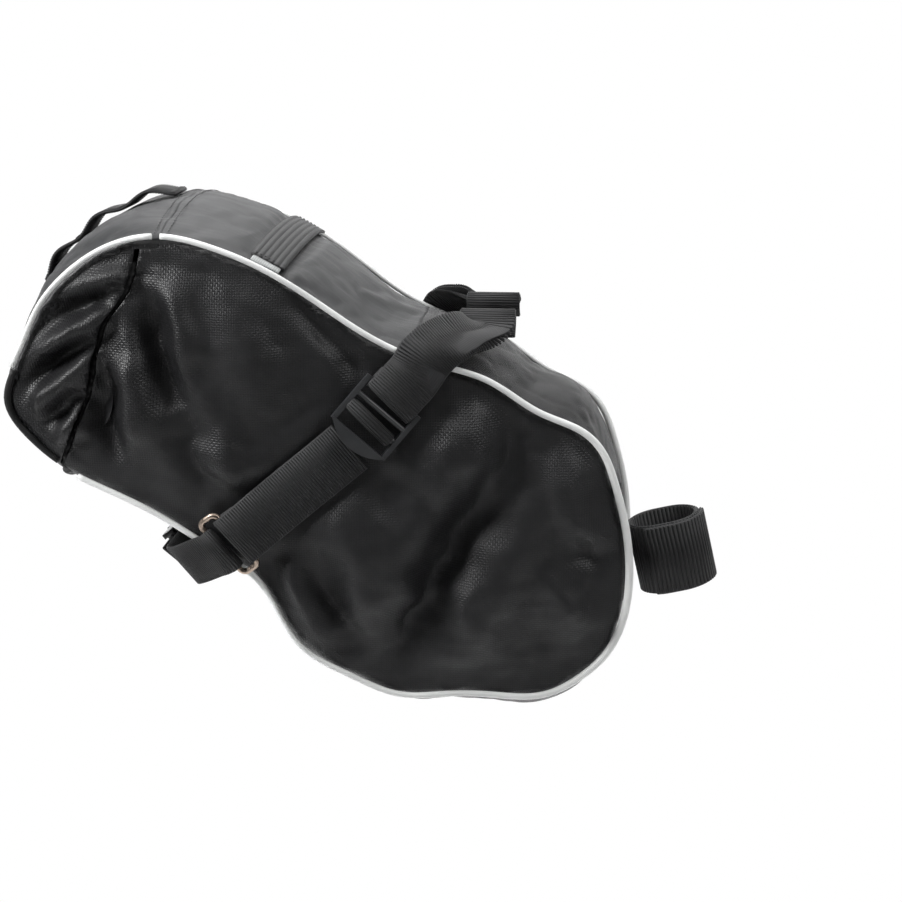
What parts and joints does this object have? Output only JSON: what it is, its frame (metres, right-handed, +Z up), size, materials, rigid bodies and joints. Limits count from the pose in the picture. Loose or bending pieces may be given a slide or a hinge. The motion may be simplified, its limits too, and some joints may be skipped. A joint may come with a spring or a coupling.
{
  "type": "bicycle saddle bag",
  "caption": "Soft seat pack for a bicycle: hooded rear lid, reflective piping, straps with ladder locks to the saddle rails and a hook-and-loop strap for the seat post.",
  "frame": {"origin": "centre of the seat-post strap, on the axis of the seat post it closes round", "axes": "+X forward along the bicycle, +Y to the rider's left, +Z up; the bag hangs behind the post, along -X"},
  "size_m": [0.3689, 0.1752, 0.273],
  "materials": {
    "side_fabric": "coarse woven nylon",
    "coated_fabric": "smooth coated nylon",
    "gusset_fabric": "coarse woven nylon",
    "lining": "thin woven lining",
    "hem_elastic": "gathered elastic tape",
    "binding_tape": "woven tape",
    "stiffener_board": "dull sheet",
    "reflective_piping": "retroreflective tape over cord",
    "webbing": "ribbed webbing",
    "ribbed_elastic": "lengthwise ribs",
    "tab_tape": "woven tape",
    "lock_plastic": "satin moulding",
    "buckle_plastic": "gloss moulding",
    "ring_wire": "plated wire",
    "hook_loop_strap": "ribbed hook-and-loop webbing",
    "backing_fabric": "woven backing"
  },
  "bodies": {
    "bag": {"anchor_webbing": "webbing", "base_stiffener": "stiffener_board", "bottom_gusset": "gusset_fabric", "buckle_socket": "buckle_plastic", "collar": "lining", "collar_binding": "binding_tape", "cross_strap_left": "webbing", "cross_strap_right": "webbing", "elastic_tab_left": "tab_tape", "elastic_tab_right": "tab_tape", "front_gusset": "gusset_fabric", "piping_left": "reflective_piping", "piping_right": "reflective_piping", "post_patch": "backing_fabric", "post_strap": "hook_loop_strap", "rail_strap_left": "webbing", "rail_strap_right": "webbing", "side_panel_left": "side_fabric", "side_panel_right": "side_fabric", "side_strap_left": "webbing", "side_strap_right": "webbing", "top_elastic": "ribbed_elastic", "top_panel": "coated_fabric", "wire_ring_left": "ring_wire", "wire_ring_right": "ring_wire"},
    "lid": {"lid_panel": "coated_fabric", "lid_piping_left": "reflective_piping", "lid_piping_right": "reflective_piping", "lid_skirt_left": "side_fabric", "lid_skirt_right": "side_fabric", "lid_hem": "hem_elastic", "daisy_chain": "webbing"},
    "lock_left": {"ladder_lock_left": "lock_plastic", "lock_webbing_left": "webbing"},
    "lock_right": {"ladder_lock_right": "lock_plastic", "lock_webbing_right": "webbing"},
    "plug": {"buckle_plug": "buckle_plastic", "strap_tail": "webbing"},
    "prong_lower": {"buckle_prong_lower": "buckle_plastic"},
    "prong_upper": {"buckle_prong_upper": "buckle_plastic"},
    "post_flap": {"post_flap": "hook_loop_strap"}
  },
  "joints": [
    {"name": "lid_hinge", "type": "hinge", "parent": "bag", "child": "lid", "pos_m": [-0.2456, 0, 0.189], "axis": [0, 1, 0], "range_deg": [0, 100]},
    {"name": "lock_tilt_right", "type": "hinge", "parent": "bag", "child": "lock_right", "pos_m": [-0.13581, -0.07205, 0.09644], "axis": [-0.7321, -0.075, 0.6771], "range_deg": [0, 25], "stiffness_Nm_per_rad": 0.02},
    {"name": "lock_tilt_left", "type": "hinge", "parent": "bag", "child": "lock_left", "pos_m": [-0.13581, 0.07205, 0.09644], "axis": [0.7321, -0.075, -0.6771], "range_deg": [0, 25], "stiffness_Nm_per_rad": 0.02},
    {"name": "buckle_slide", "type": "slide", "parent": "bag", "child": "plug", "axis": [0, -1, 0], "range_m": [0, 0.017]},
    {"name": "prong_lower_squeeze", "type": "hinge", "parent": "plug", "child": "prong_lower", "pos_m": [-0.24283, -0.012, -0.00871], "axis": [0.7878, 0, 0.6159], "range_deg": [0, 5], "stiffness_Nm_per_rad": 0.02},
    {"name": "prong_upper_squeeze", "type": "hinge", "parent": "plug", "child": "prong_upper", "pos_m": [-0.25705, -0.012, 0.00949], "axis": [-0.7878, 0, -0.6159], "range_deg": [0, 5], "stiffness_Nm_per_rad": 0.02},
    {"name": "flap_peel", "type": "hinge", "parent": "bag", "child": "post_flap", "pos_m": [0.02355, 0.003, 0.00557], "axis": [-0.23, 0, 0.9732], "range_deg": [0, 90]}
  ],
  "couplings": [
    {"joint": "prong_upper_squeeze", "follows": "prong_lower_squeeze", "ratio": 1}
  ]
}
